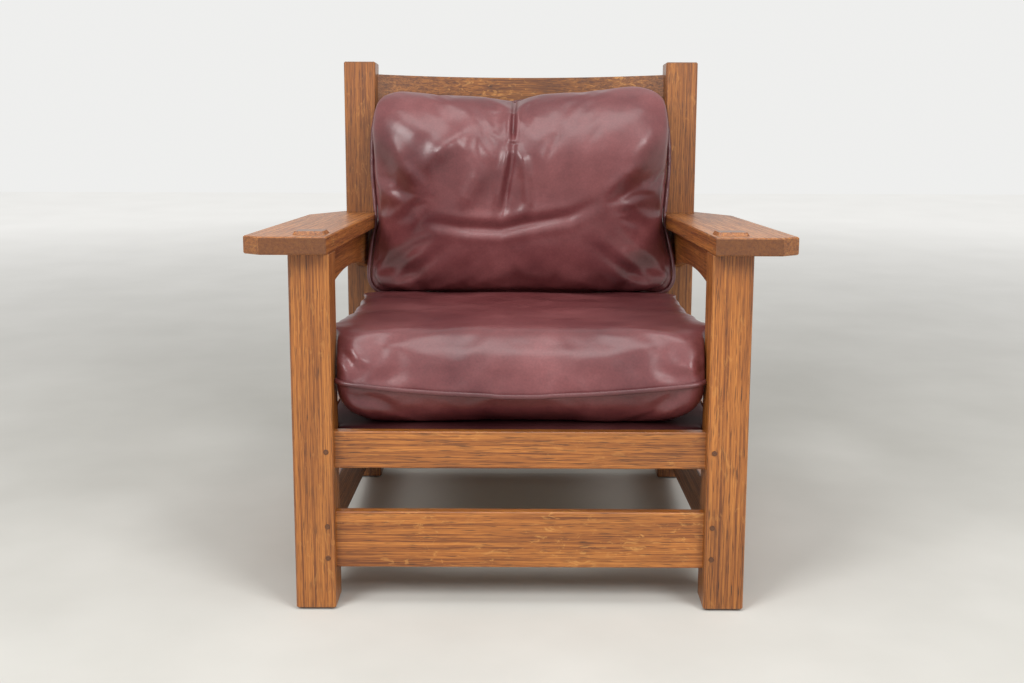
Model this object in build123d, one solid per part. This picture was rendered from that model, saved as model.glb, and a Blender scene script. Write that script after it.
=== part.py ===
from build123d import *
from math import cos, radians, sin
import os

# Mission lounge armchair in quarter-sawn oak with two loose leather cushions.
#
# Millimetres. X runs across the chair, Y from front to back, and Z up. The
# chair faces -Y, and left and right are as seen from in front. The frame is
# drawn square, with the front faces of the front posts at zero depth and
# their feet at zero height. Then the whole chair leans back as one, and its
# feet are cut level. The origin is on the floor, in the middle of the chair.

# Posts
width_over_posts = 754.0
depth_over_posts = 757.0
post_size = 67.0
post_above_crest = 24.0
post_edge_chamfer = 2.5
foot_edge_chamfer = 2.0
recline_angle = 3.3

# Arms
arm_top_height = 630.0
arm_thickness = 29.0
arm_front_overhang = 38.0
arm_inner_overhang = 2.0
arm_outer_overhang = 68.0
arm_corner_cut_across = 30.0
arm_corner_cut_along = 27.0
arm_taper_length = 152.0
arm_tail_width = 12.0
arm_edge_chamfer = 2.0

# Through tenons on the front posts, which show in the arm tops
through_tenon_size = 54.0
through_tenon_rise = 5.5
through_tenon_bevel = 4.0
through_tenon_corner = 6.0

# Seat rails and stretchers
rail_thickness = 22.0
rail_setback = 17.0
seat_rail_top = 302.5
seat_rail_width = 63.0
stretcher_bottom = 67.0
stretcher_width = 97.0
rail_edge_chamfer = 1.5

# Arched rails under the arms
arch_rail_setback = 24.0
arch_rail_end_width = 88.0
arch_rise = 31.0

# Mortise and tenon joints
tenon_thickness = 12.0
tenon_length = 25.0
tenon_shoulder = 10.0
mortise_clearance = 0.3
mortise_end_gap = 1.0

# Pegs through the joints, whittled with flat sides
peg_width = 9.0
peg_sides = 8
peg_proud = 0.8
peg_inset = 11.5
peg_clearance = 0.1
stretcher_peg_spacing = 55.0

# Bowed crest rail and back slats
back_bow = 45.0
back_setback = 42.0
back_rail_thickness = 20.0
crest_top_height = 926.0
crest_width = 90.0
crest_top_dip = 4.5
slat_count = 4
slat_width = 60.0
lower_back_rail_top = 415.0
bowed_tenon_thickness = 10.0
bowed_edge_chamfer = 1.5

# Drop-in seat deck
deck_rise = 2.0
deck_edge_clearance = 1.5
deck_rail_width = 60.0
deck_rail_thickness = 20.0
deck_tongue_length = 18.0
deck_tongue_thickness = 8.0
deck_tongue_clearance = 0.2
webbing_thickness = 2.0
webbing_width = 50.0
webbing_landing = 22.0
webbing_across_count = 7
webbing_along_count = 6
pad_thickness = 18.0
deck_leather_thickness = 1.5
cleat_size = 22.0
cleat_end_gap = 2.0

# Glides under the feet
glide_diameter = 46.0
glide_height = 3.0

# Loose cushions
soft_clearance = 0.3
settle_steps = 4
piping_size = 8.0
piping_edge_share = 0.28
crown_angles = (0, 24, 42, 54, 63, 70, 76)
crown_fullness = 0.24
core_inset = 24.0
core_height_share = 0.72
core_corner = 40.0
core_edge = 34.0
core_clearance = 0.5

seat_cushion_side_gap = 7.0
seat_cushion_front_gap = 4.0
seat_cushion_rear_gap = 6.0
seat_cushion_lower_height = 66.0
seat_cushion_upper_height = 110.0
seat_cushion_corner = 44.0
seat_cushion_draw_in = 5.0

back_cushion_side_gap = 1.0
back_cushion_height = 420.0
back_cushion_front_depth = 118.0
back_cushion_rear_depth = 84.0
back_cushion_corner = 60.0
back_cushion_draw_in = 5.0
back_cushion_lean = 11.0
back_cushion_belly = 26.0

# Places worked out from the sizes above
post_outer = width_over_posts / 2
post_inner = post_outer - post_size
post_middle = (post_outer + post_inner) / 2
rear_post_back = depth_over_posts
rear_post_front = rear_post_back - post_size
rear_post_middle = (rear_post_back + rear_post_front) / 2
front_post_middle = post_size / 2
arm_bottom = arm_top_height - arm_thickness
seat_rail_bottom = seat_rail_top - seat_rail_width
stretcher_top = stretcher_bottom + stretcher_width
arch_rail_low = arm_bottom - arch_rail_end_width
side_rail_outer = post_outer - rail_setback
side_rail_inner = side_rail_outer - rail_thickness
side_rail_middle = (side_rail_outer + side_rail_inner) / 2
front_rail_back = rail_setback + rail_thickness
front_rail_middle = rail_setback + rail_thickness / 2
rear_rail_back = rear_post_back - rail_setback
rear_rail_front = rear_rail_back - rail_thickness
rear_rail_middle = (rear_rail_back + rear_rail_front) / 2
arch_rail_middle = post_outer - arch_rail_setback - rail_thickness / 2
peg_length = rail_setback + (rail_thickness + tenon_thickness) / 2
bow_start = rear_post_front + back_setback
bow_radius = (post_inner**2 + back_bow**2) / (2 * back_bow)
crest_bottom = crest_top_height - crest_width
rear_post_height = crest_top_height + post_above_crest
slat_gap = (crest_bottom - lower_back_rail_top - slat_count * slat_width) / (slat_count + 1)
deck_top = seat_rail_top + deck_rise
deck_rail_top = deck_top - deck_leather_thickness - pad_thickness - webbing_thickness
deck_rail_bottom = deck_rail_top - deck_rail_thickness
deck_half_width = side_rail_inner - deck_edge_clearance
deck_front = front_rail_back + deck_edge_clearance
deck_back = rear_rail_front - deck_edge_clearance
seat_cushion_bottom = deck_top + soft_clearance


def block(low, high):
    """A box between two opposite corners."""
    size = [b - a for a, b in zip(low, high)]
    middle = [(a + b) / 2 for a, b in zip(low, high)]
    return Pos(*middle) * Box(*size)


def cut_all(piece, cutters):
    """Takes each cutter out of a piece in turn."""
    for cutter in cutters:
        piece -= cutter
    return piece


def mirrored(piece):
    """The left-hand twin of a right-hand piece."""
    return mirror(piece, about=Plane.YZ)


def lean_back(piece):
    """Leans a squarely drawn piece back and sets it at the height of the glides."""
    return Pos(0, 0, glide_height) * Rot(X=-recline_angle) * piece


# Joints

def across_tenon(middle_y, thickness, low, high, mortise=False):
    """A tenon that points along +X into the inner face of a right-hand post."""
    play = mortise_clearance if mortise else 0
    extra = mortise_end_gap if mortise else 0
    reach = thickness / 2 + play
    return block(
        (post_inner, middle_y - reach, low + tenon_shoulder - play),
        (post_inner + tenon_length + extra, middle_y + reach, high - tenon_shoulder + play),
    )


def along_tenons(middle_x, low, high, mortise=False):
    """The front and rear tenons of a rail that runs from post to post along Y."""
    play = mortise_clearance if mortise else 0
    extra = mortise_end_gap if mortise else 0
    reach = tenon_thickness / 2 + play
    depth = tenon_length + extra
    return [
        block(
            (middle_x - reach, low_y, low + tenon_shoulder - play),
            (middle_x + reach, low_y + depth, high - tenon_shoulder + play),
        )
        for low_y in (post_size - depth, rear_post_front)
    ]


def side_joints(mortise=False):
    """The tenons of all the right-hand rails that run along Y, or their mortises."""
    return [
        joint
        for middle_x, low, high in (
            (side_rail_middle, seat_rail_bottom, seat_rail_top),
            (side_rail_middle, stretcher_bottom, stretcher_top),
            (arch_rail_middle, arch_rail_low, arm_bottom),
        )
        for joint in along_tenons(middle_x, low, high, mortise)
    ]


def rail_levels():
    """Lower and upper heights of the seat rails and of the stretchers."""
    return [(seat_rail_bottom, seat_rail_top), (stretcher_bottom, stretcher_top)]


def slat_levels():
    """Lower and upper heights of each bowed piece under the crest rail."""
    levels = [(lower_back_rail_top - slat_width, lower_back_rail_top)]
    for number in range(slat_count):
        low = lower_back_rail_top + slat_gap + number * (slat_width + slat_gap)
        levels.append((low, low + slat_width))
    return levels


def bowed_tenon(low, high, mortise=False):
    """The square-cut tenon on the end of a bowed back piece."""
    middle_y = bow_start + back_rail_thickness / 2
    return across_tenon(middle_y, bowed_tenon_thickness, low, high, mortise)


def rail_peg_heights():
    """One peg in a seat rail, and two in a stretcher."""
    stretcher_middle = (stretcher_bottom + stretcher_top) / 2
    return [
        (seat_rail_top + seat_rail_bottom) / 2,
        stretcher_middle + stretcher_peg_spacing / 2,
        stretcher_middle - stretcher_peg_spacing / 2,
    ]


def peg_places(kind):
    """Where the right-hand pegs stand, each with its head turned outward."""
    inset_x = post_inner + peg_inset
    places = []
    for height in rail_peg_heights():
        if kind == "front":
            places.append(Pos(inset_x, 0, height) * Rot(X=90))
        elif kind == "rear":
            places.append(Pos(inset_x, rear_post_back, height) * Rot(X=-90))
        else:
            for depth in (post_size - peg_inset, rear_post_front + peg_inset):
                places.append(Pos(post_outer, depth, height) * Rot(Y=90))
    return places


def joint_pegs(kind):
    """The right-hand pegs of one kind, each a little proud of its post."""
    end = RegularPolygon(peg_width / 2, peg_sides)
    peg = Pos(0, 0, -peg_length) * extrude(end, amount=peg_length + peg_proud)
    return [place * peg for place in peg_places(kind)]


def peg_holes(*kinds):
    """The holes for the right-hand pegs of each kind, as deep as the pegs."""
    mouth = RegularPolygon(peg_width / 2 + peg_clearance, peg_sides)
    bore = Pos(0, 0, -peg_length) * extrude(mouth, amount=2 * peg_length)
    return [place * bore for kind in kinds for place in peg_places(kind)]


# Posts

def post_blank(front_y, back_y, top):
    """A square post with eased long edges and an eased top."""
    blank = block((post_inner, front_y, -glide_height), (post_outer, back_y, top))
    upper = blank.edges().filter_by(Axis.Z) + blank.edges().group_by(Axis.Z)[-1]
    return chamfer(upper, post_edge_chamfer)


def front_post():
    """A front post, with the through tenon that rises out of the arm."""
    post = post_blank(0, post_size, arm_bottom)
    half = through_tenon_size / 2
    tenon = block(
        (post_middle - half, front_post_middle - half, arm_bottom - post_edge_chamfer),
        (post_middle + half, front_post_middle + half, arm_top_height + through_tenon_rise),
    )
    tenon = fillet(tenon.edges().filter_by(Axis.Z), through_tenon_corner)
    top_edges = tenon.faces().sort_by(Axis.Z)[-1].edges()
    tenon = chamfer(top_edges, through_tenon_rise, through_tenon_bevel)
    post += tenon
    for low, high in rail_levels():
        post -= across_tenon(front_rail_middle, tenon_thickness, low, high, mortise=True)
    return cut_all(post, side_joints(mortise=True) + peg_holes("front", "side"))


def rear_post():
    """A rear post, which runs unbroken from the floor to above the crest rail."""
    post = post_blank(rear_post_front, rear_post_back, rear_post_height)
    for low, high in rail_levels():
        post -= across_tenon(rear_rail_middle, tenon_thickness, low, high, mortise=True)
    for low, high in slat_levels() + [(crest_bottom, crest_top_height)]:
        post -= bowed_tenon(low, high, mortise=True)
    return cut_all(post, side_joints(mortise=True) + peg_holes("rear", "side"))


def level_feet(post):
    """Leans a post back, cuts its foot level and eases the cut."""
    leaned = lean_back(post)
    floor_cut = Plane.XY.offset(glide_height)
    cut = split(leaned, bisect_by=floor_cut, keep=Keep.TOP)
    foot = cut.faces().sort_by(Axis.Z)[0].edges()
    return chamfer(foot, foot_edge_chamfer)


def glide(middle_y):
    """A round glide, square to the floor, under the middle of a right-hand foot."""
    disc = Cylinder(glide_diameter / 2, glide_height)
    level_y = middle_y / cos(radians(recline_angle))
    return Pos(post_middle, level_y, glide_height / 2) * disc


# Arms and the arched rails under them

def arm():
    """A wide flat arm, notched round the rear post and mortised for the front one."""
    inner = post_inner - arm_inner_overhang
    outer = post_outer + arm_outer_overhang
    outline = Polyline(
        (inner, -arm_front_overhang),
        (outer - arm_corner_cut_across, -arm_front_overhang),
        (outer, -arm_front_overhang + arm_corner_cut_along),
        (outer, rear_post_back - arm_taper_length),
        (post_outer + arm_tail_width, rear_post_back),
        (post_outer, rear_post_back),
        (post_outer, rear_post_front),
        (inner, rear_post_front),
        close=True,
    )
    board = Pos(0, 0, arm_bottom) * extrude(make_face(outline), amount=arm_thickness)
    eased = board.edges().group_by(Axis.Z)[0] + board.edges().group_by(Axis.Z)[-1]
    board = chamfer(eased, arm_edge_chamfer)
    half = through_tenon_size / 2 + mortise_clearance
    mortise = block(
        (post_middle - half, front_post_middle - half, arm_bottom),
        (post_middle + half, front_post_middle + half, arm_top_height),
    )
    corner = through_tenon_corner + mortise_clearance
    return board - fillet(mortise.edges().filter_by(Axis.Z), corner)


def arch_rail():
    """The rail under an arm, its lower edge cut to a long arch."""
    low = arch_rail_low
    middle_y = (post_size + rear_post_front) / 2
    arch = ThreePointArc((post_size, low), (middle_y, low + arch_rise), (rear_post_front, low))
    sides = Polyline(
        (rear_post_front, low),
        (rear_post_front, arm_bottom),
        (post_size, arm_bottom),
        (post_size, low),
    )
    profile = make_face([arch, sides])
    side = extrude(Plane.YZ * profile, amount=rail_thickness)
    rail = Pos(arch_rail_middle - rail_thickness / 2, 0, 0) * side
    rail = chamfer(rail.edges().filter_by(GeomType.CIRCLE), rail_edge_chamfer)
    for tenon in along_tenons(arch_rail_middle, low, arm_bottom):
        rail += tenon
    return rail


# Seat rails and stretchers

def cross_rail(middle_y, low, high, pegs):
    """A straight rail between two posts, with a tenon at each end."""
    rail = block(
        (-post_inner, middle_y - rail_thickness / 2, low),
        (post_inner, middle_y + rail_thickness / 2, high),
    )
    rail = chamfer(rail.edges().filter_by(Axis.X), rail_edge_chamfer)
    tenon = cut_all(across_tenon(middle_y, tenon_thickness, low, high), peg_holes(pegs))
    return rail + tenon + mirrored(tenon)


def side_rail(low, high):
    """A straight rail from a front post back to a rear post."""
    rail = block((side_rail_inner, post_size, low), (side_rail_outer, rear_post_front, high))
    rail = chamfer(rail.edges().filter_by(Axis.Y), rail_edge_chamfer)
    for tenon in along_tenons(side_rail_middle, low, high):
        rail += tenon
    return cut_all(rail, peg_holes("side"))


# The bowed back

def bowed_board(low, high):
    """A board between the rear posts, bowed backward in one even curve."""
    centre = (0, bow_start + back_bow - bow_radius)
    outer_radius = bow_radius + back_rail_thickness
    ring = Pos(*centre) * (Circle(outer_radius) - Circle(bow_radius))
    window_back = bow_start + back_bow + 2 * back_rail_thickness
    window = Polyline(
        (-post_inner, bow_start - back_rail_thickness),
        (post_inner, bow_start - back_rail_thickness),
        (post_inner, window_back),
        (-post_inner, window_back),
        close=True,
    )
    plan = ring & make_face(window)
    board = Pos(0, 0, low) * extrude(plan, amount=high - low)
    long_edges = board.edges().filter_by(GeomType.CIRCLE)
    return chamfer(long_edges, bowed_edge_chamfer)


def back_slat(low, high):
    """A bowed slat with its two tenons."""
    tenon = bowed_tenon(low, high)
    return bowed_board(low, high) + tenon + mirrored(tenon)


def crest_rail():
    """The top slat, with its upper edge dipped slightly in the middle."""
    rail = back_slat(crest_bottom, crest_top_height)
    dip_radius = (post_inner**2 + crest_top_dip**2) / (2 * crest_top_dip)
    cutter_height = crest_top_height - crest_top_dip + dip_radius
    cutter = Rot(X=90) * Cylinder(dip_radius, 2 * rear_post_back)
    return rail - Pos(0, rear_post_back, cutter_height) * cutter


# The drop-in seat deck

def deck_outline(inset):
    """The deck seen from above: a rectangle notched round the four posts."""
    half = deck_half_width - inset
    notch_x = post_inner - deck_edge_clearance - inset
    front_notch = post_size + deck_edge_clearance + inset
    rear_notch = rear_post_front - deck_edge_clearance - inset
    right_side = [
        (notch_x, deck_front + inset),
        (notch_x, front_notch),
        (half, front_notch),
        (half, rear_notch),
        (notch_x, rear_notch),
        (notch_x, deck_back - inset),
    ]
    left_side = [(-x, y) for x, y in reversed(right_side)]
    return make_face(Polyline(*right_side, *left_side, close=True))


def deck_tongue(clearance=0):
    """The tongue that joins a cross rail of the deck to its right-hand side rail."""
    inner = deck_half_width - deck_rail_width
    reach = deck_tongue_thickness / 2 + clearance
    middle = deck_rail_top - deck_rail_thickness / 2
    far = inner + deck_tongue_length + clearance
    front = (
        (inner, deck_front + deck_edge_clearance - clearance, middle - reach),
        (far, deck_front + deck_rail_width - deck_edge_clearance + clearance, middle + reach),
    )
    rear = (
        (inner, deck_back - deck_rail_width + deck_edge_clearance - clearance, middle - reach),
        (far, deck_back - deck_edge_clearance + clearance, middle + reach),
    )
    return block(*front), block(*rear)


def deck_side_rail():
    """A side rail of the deck frame, notched with the outline at each post."""
    board = Pos(0, 0, deck_rail_bottom) * extrude(deck_outline(0), amount=deck_rail_thickness)
    strip = block(
        (deck_half_width - deck_rail_width, deck_front, deck_rail_bottom),
        (deck_half_width, deck_back, deck_rail_top),
    )
    rail = board & strip
    for groove in deck_tongue(deck_tongue_clearance):
        rail -= groove
    return rail


def deck_cross_rail(front_y, tongue):
    """A front or rear rail of the deck frame, tongued into the side rails."""
    inner = deck_half_width - deck_rail_width
    board = block(
        (-inner, front_y, deck_rail_bottom),
        (inner, front_y + deck_rail_width, deck_rail_top),
    )
    return board + tongue + mirrored(tongue)


def evenly(count, low, high):
    """Middles of equal steps between two places."""
    step = (high - low) / count
    return [low + step * (number + 1 / 2) for number in range(count)]


def deck_webbing():
    """Straps each way across the deck frame, drawn tight as one flat net."""
    side = deck_half_width - deck_rail_width + webbing_landing
    front = deck_front + deck_rail_width - webbing_landing
    back = deck_back - deck_rail_width + webbing_landing
    straps = Sketch()
    for y in evenly(webbing_across_count, front, back):
        straps += Pos(0, y) * Rectangle(2 * side, webbing_width)
    for x in evenly(webbing_along_count, -side, side):
        straps += Pos(x, (front + back) / 2) * Rectangle(webbing_width, back - front)
    return Pos(0, 0, deck_rail_top) * extrude(straps, amount=webbing_thickness)


def deck_pad():
    """The thin pad on the webbing."""
    level = deck_rail_top + webbing_thickness
    return Pos(0, 0, level) * extrude(deck_outline(deck_leather_thickness), amount=pad_thickness)


def deck_cover():
    """Leather over the pad and down its sides to the deck frame."""
    inside_height = webbing_thickness + pad_thickness
    skin = extrude(deck_outline(0), amount=inside_height + deck_leather_thickness)
    hollow = extrude(deck_outline(deck_leather_thickness), amount=inside_height)
    return Pos(0, 0, deck_rail_top) * (skin - hollow)


def side_cleat():
    """The cleat on a side seat rail that carries the deck."""
    return block(
        (side_rail_inner - cleat_size, post_size + cleat_end_gap, deck_rail_bottom - cleat_size),
        (side_rail_inner, rear_post_front - cleat_end_gap, deck_rail_bottom),
    )


def cross_cleat(low_y):
    """The cleat on the front or rear seat rail."""
    end = post_inner - cleat_end_gap
    return block(
        (-end, low_y, deck_rail_bottom - cleat_size),
        (end, low_y + cleat_size, deck_rail_bottom),
    )


# Cushions

def cushion_outline(width, length, corner, draw_in):
    """A rounded rectangle, each side drawn in a little between its corners."""
    x = width / 2
    y = length / 2
    sides = [
        ThreePointArc((-x, -y), (0, draw_in - y), (x, -y)),
        ThreePointArc((x, -y), (x - draw_in, 0), (x, y)),
        ThreePointArc((x, y), (0, y - draw_in), (-x, y)),
        ThreePointArc((-x, y), (draw_in - x, 0), (-x, -y)),
    ]
    face = make_face(sides)
    return fillet(face.vertices(), corner)


def crown(outline, height, belly=0):
    """A domed half cushion over an outline, rising along Z and sagging along -Y."""
    sections = []
    for angle in crown_angles:
        share = cos(radians(angle)) ** crown_fullness
        rise = sin(radians(angle))
        sections.append(Pos(0, -belly * rise**2, height * rise) * scale(outline, by=share))
    return loft(sections, ruled=True)


def foam_block(plan, upper_height, lower_height, growth=0):
    """The foam in a cushion, cut with straight sides and eased edges."""
    width, length, _, _ = plan
    half_width = width / 2 - core_inset + growth
    half_length = length / 2 - core_inset + growth
    block_low = -core_height_share * lower_height - growth
    block_high = piping_size + core_height_share * upper_height + growth
    foam = block((-half_width, -half_length, block_low), (half_width, half_length, block_high))
    foam = chamfer(foam.edges().filter_by(Axis.Z), core_corner)
    levels = foam.edges().group_by(Axis.Z)
    return chamfer(levels[0] + levels[-1], core_edge)


def cushion_pieces(plan, upper_height, lower_height, belly=0):
    """The leather with its soft lining, its piping and the foam, with the seam at zero height."""
    outline = cushion_outline(*plan)
    band = extrude(outline, amount=piping_size)
    upper = Pos(0, 0, piping_size) * crown(outline, upper_height)
    lower = mirror(crown(outline, lower_height, belly), about=Plane.XY)
    hollow = foam_block(plan, upper_height, lower_height, core_clearance)
    cover = upper + band + lower - hollow
    return cover, cushion_piping(*plan), foam_block(plan, upper_height, lower_height)


def cushion_piping(width, length, corner, draw_in):
    """A cord of leather along the seam, flat where it meets the band."""
    inner = cushion_outline(width, length, corner, draw_in)
    outer = cushion_outline(
        width + 2 * piping_size, length + 2 * piping_size, corner + piping_size, draw_in
    )
    ring = extrude(outer, amount=piping_size) - extrude(inner, amount=piping_size)
    top = ring.faces().sort_by(Axis.Z)[-1].outer_wire().edges()
    bottom = ring.faces().sort_by(Axis.Z)[0].outer_wire().edges()
    return chamfer(top + bottom, piping_edge_share * piping_size)


def seat_cushion_pieces():
    """The seat cushion's cover, piping and core, flat on the deck."""
    front = seat_cushion_front_gap + piping_size
    back = rear_post_front - seat_cushion_rear_gap - piping_size
    width = 2 * (post_inner - seat_cushion_side_gap - piping_size)
    plan = (width, back - front, seat_cushion_corner, seat_cushion_draw_in)
    drop = seat_cushion_lower_height * sin(radians(crown_angles[-1]))
    place = Pos(0, (front + back) / 2, seat_cushion_bottom + drop)
    pieces = cushion_pieces(plan, seat_cushion_upper_height, seat_cushion_lower_height)
    return [place * piece for piece in pieces]


def room_between(piece, others):
    """How far a soft piece can move and still lie just clear of its neighbours."""
    return min(piece.distance_to(other) for other in others) - soft_clearance


def back_cushion_pieces(seat_cover, slats):
    """The back cushion's pieces, let back to the slats and then down to the seat."""
    opening = post_inner - arm_inner_overhang - back_cushion_side_gap
    width = 2 * (opening - piping_size)
    height = back_cushion_height - 2 * piping_size
    plan = (width, height, back_cushion_corner, back_cushion_draw_in)
    depths = (back_cushion_rear_depth, back_cushion_front_depth)
    pieces = cushion_pieces(plan, *depths, back_cushion_belly)
    upright = Rot(X=-90 + back_cushion_lean) * Rot(Z=180)
    cover, piping, core = [upright * piece for piece in pieces]
    start_y = bow_start - cover.bounding_box().max.Y
    start_z = seat_cover.bounding_box().max.Z + height
    place = Pos(0, start_y, start_z)
    for _ in range(settle_steps):
        place = Pos(0, room_between(place * cover, slats), 0) * place
    for _ in range(settle_steps):
        room = min(room_between(place * piece, [seat_cover]) for piece in (cover, piping))
        place = Pos(0, 0, -room) * place
    return [place * piece for piece in (cover, piping, core)]


# The whole chair

def both_sides(name, piece):
    """A right-hand piece and its left-hand twin."""
    return {name + "_right": piece, name + "_left": mirrored(piece)}


def square_parts():
    """Every piece of the chair but the posts and glides, before it leans back.

    A group of like pegs is a list, and everything else is one solid.
    """
    parts = {}
    parts.update(both_sides("arm", arm()))
    parts.update(both_sides("arch_rail", arch_rail()))
    parts.update(both_sides("side_seat_rail", side_rail(seat_rail_bottom, seat_rail_top)))
    parts.update(both_sides("side_stretcher", side_rail(stretcher_bottom, stretcher_top)))
    for end, middle_y in (("front", front_rail_middle), ("rear", rear_rail_middle)):
        parts[end + "_seat_rail"] = cross_rail(middle_y, seat_rail_bottom, seat_rail_top, end)
        parts[end + "_stretcher"] = cross_rail(middle_y, stretcher_bottom, stretcher_top, end)
    parts["crest_rail"] = crest_rail()
    levels = slat_levels()
    parts["lower_back_rail"] = back_slat(*levels[0])
    for number, level in enumerate(levels[1:], start=1):
        parts[f"back_slat_{number}"] = back_slat(*level)

    right_pegs = joint_pegs("side")
    parts["side_pegs_right"] = right_pegs
    parts["side_pegs_left"] = [mirrored(one) for one in right_pegs]
    for kind in ("front", "rear"):
        pegs = joint_pegs(kind)
        parts[kind + "_pegs"] = pegs + [mirrored(one) for one in pegs]

    front_tongue, rear_tongue = deck_tongue()
    parts.update(both_sides("deck_side_rail", deck_side_rail()))
    parts["deck_front_rail"] = deck_cross_rail(deck_front, front_tongue)
    parts["deck_rear_rail"] = deck_cross_rail(deck_back - deck_rail_width, rear_tongue)
    parts["deck_webbing"] = deck_webbing()
    parts["deck_pad"] = deck_pad()
    parts["deck_cover"] = deck_cover()
    parts.update(both_sides("side_cleat", side_cleat()))
    parts["front_cleat"] = cross_cleat(front_rail_back)
    parts["rear_cleat"] = cross_cleat(rear_rail_front - cleat_size)

    slats = [piece for name, piece in parts.items() if name.startswith(("crest", "back_slat"))]
    seat_pieces = seat_cushion_pieces()
    back_pieces = back_cushion_pieces(seat_pieces[0], slats)
    for cushion, pieces in (("seat_cushion", seat_pieces), ("back_cushion", back_pieces)):
        for suffix, piece in zip(("", "_piping", "_core"), pieces):
            parts[cushion + suffix] = piece
    return parts


def chair():
    """The finished chair as lists of solids, leaned back and standing on the origin."""
    parts = {}
    for name, piece in square_parts().items():
        solids = piece if isinstance(piece, list) else [piece]
        parts[name] = [lean_back(one) for one in solids]
    for name, post in (("front_post", front_post()), ("rear_post", rear_post())):
        for side, piece in both_sides(name, level_feet(post)).items():
            parts[side] = [piece]
    glides = [glide(front_post_middle), glide(rear_post_middle)]
    parts["glides"] = glides + [mirrored(one) for one in glides]
    bounds = [one.bounding_box() for solids in parts.values() for one in solids]
    front = min(box.min.Y for box in bounds)
    back = max(box.max.Y for box in bounds)
    to_origin = Pos(0, -(front + back) / 2, 0)
    print(f"depth {back - front:.2f}, moved along Y by {-(front + back) / 2:.3f}")
    return {name: [to_origin * one for one in solids] for name, solids in parts.items()}


os.makedirs("parts", exist_ok=True)
for name, solids in chair().items():
    shape = solids[0] if len(solids) == 1 else Compound(children=solids)
    export_step(shape, f"parts/{name}.step")
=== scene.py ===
from math import pi, radians, sin

import bpy
import numpy as np
from mathutils import Matrix, Vector, noise
from mathutils.bvhtree import BVHTree


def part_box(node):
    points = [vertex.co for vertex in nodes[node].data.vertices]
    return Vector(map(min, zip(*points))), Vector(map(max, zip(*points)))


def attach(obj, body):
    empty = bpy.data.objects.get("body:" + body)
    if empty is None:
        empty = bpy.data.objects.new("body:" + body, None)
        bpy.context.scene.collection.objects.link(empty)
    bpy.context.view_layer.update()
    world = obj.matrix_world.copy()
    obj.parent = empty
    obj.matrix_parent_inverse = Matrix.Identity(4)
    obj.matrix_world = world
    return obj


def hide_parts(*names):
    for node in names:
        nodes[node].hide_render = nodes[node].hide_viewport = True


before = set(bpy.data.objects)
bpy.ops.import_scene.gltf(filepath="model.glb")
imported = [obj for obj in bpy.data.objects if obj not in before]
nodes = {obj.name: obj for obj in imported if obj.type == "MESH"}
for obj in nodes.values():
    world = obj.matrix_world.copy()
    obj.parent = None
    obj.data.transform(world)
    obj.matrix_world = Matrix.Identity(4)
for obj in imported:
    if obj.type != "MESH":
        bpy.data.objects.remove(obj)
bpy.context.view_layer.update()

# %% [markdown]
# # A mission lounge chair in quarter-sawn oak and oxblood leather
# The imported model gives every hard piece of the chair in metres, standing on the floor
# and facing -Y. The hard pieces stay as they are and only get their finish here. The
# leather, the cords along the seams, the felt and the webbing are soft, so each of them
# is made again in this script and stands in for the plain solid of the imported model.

# %% [markdown]
# The whole chair leans back by a few degrees, and so do its boards and their grain. A
# piece is easier to think about in a frame of its own, where its length, width and
# thickness run along the axes, so the lean is kept here once, as a matrix.

# %% The lean of the chair and of the back cushion
chair_lean = radians(3.3)
back_cushion_lean = radians(11.0)
lean_matrix = Matrix.Rotation(-chair_lean, 4, "X")
print("lean in degrees:", round(np.degrees(chair_lean), 2))

# %% [markdown]
# The camera stands about two metres in front of the chair, a quarter of a metre above the
# arms, and looks slightly down, so that the arm tops and the seat show a narrow strip. It
# is built from three turns: down from the horizon, a hair to one side, and a hair of roll.

# %% Camera
camera_place = (-0.0046, -2.3278, 0.8841)
camera_down = radians(12.386)
camera_aside = radians(0.272)
camera_roll = radians(0.132)
camera_lens = 42.64  # in millimetres, as is the sensor
camera_sensor = 36
bpy.ops.object.camera_add(location=camera_place)
camera = bpy.context.object
camera.name = "front_camera"
camera.rotation_euler = (
    Matrix.Rotation(camera_aside, 3, "Z")
    @ Matrix.Rotation(pi / 2 - camera_down, 3, "X")
    @ Matrix.Rotation(camera_roll, 3, "Z")
).to_euler()
camera.data.lens = camera_lens
camera.data.sensor_width = camera_sensor
bpy.context.scene.camera = camera
bpy.context.scene.view_settings.view_transform = "Standard"
print("camera at", camera_place)

# %% [markdown]
# The light is that of a plain studio: two large soft lamps in front, one to each side and
# well above the camera, and a wide one overhead. Large lamps give the leather broad
# soft highlights. The world adds an even pale light. The camera sees it almost white, and
# so do rays that bounce off a glossy surface or pass through a clear one.

# %% Lamps
def soft_lamp(name, place, target, width, height, power):
    """A large rectangular lamp that faces a target."""
    bpy.ops.object.light_add(type="AREA", location=place)
    lamp = bpy.context.object
    lamp.name = name
    lamp.data.shape = "RECTANGLE"
    lamp.data.size = width
    lamp.data.size_y = height
    lamp.data.energy = power
    direction = Vector(target) - Vector(place)
    lamp.rotation_euler = direction.to_track_quat("-Z", "Y").to_euler()
    return lamp


chair_middle = (0, 0, 0.55)
seat_middle = (0, 0.05, 0.5)
lamps = [
    soft_lamp("left_lamp", (-1.75, -2.3, 2.35), chair_middle, width=1.3, height=1.3, power=58),
    soft_lamp("right_lamp", (1.85, -2.3, 2.25), chair_middle, width=1.3, height=1.3, power=54),
    soft_lamp("top_lamp", (0, -0.7, 2.7), seat_middle, width=1.6, height=1.0, power=20),
]
print("lamps:", len(lamps))

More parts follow.
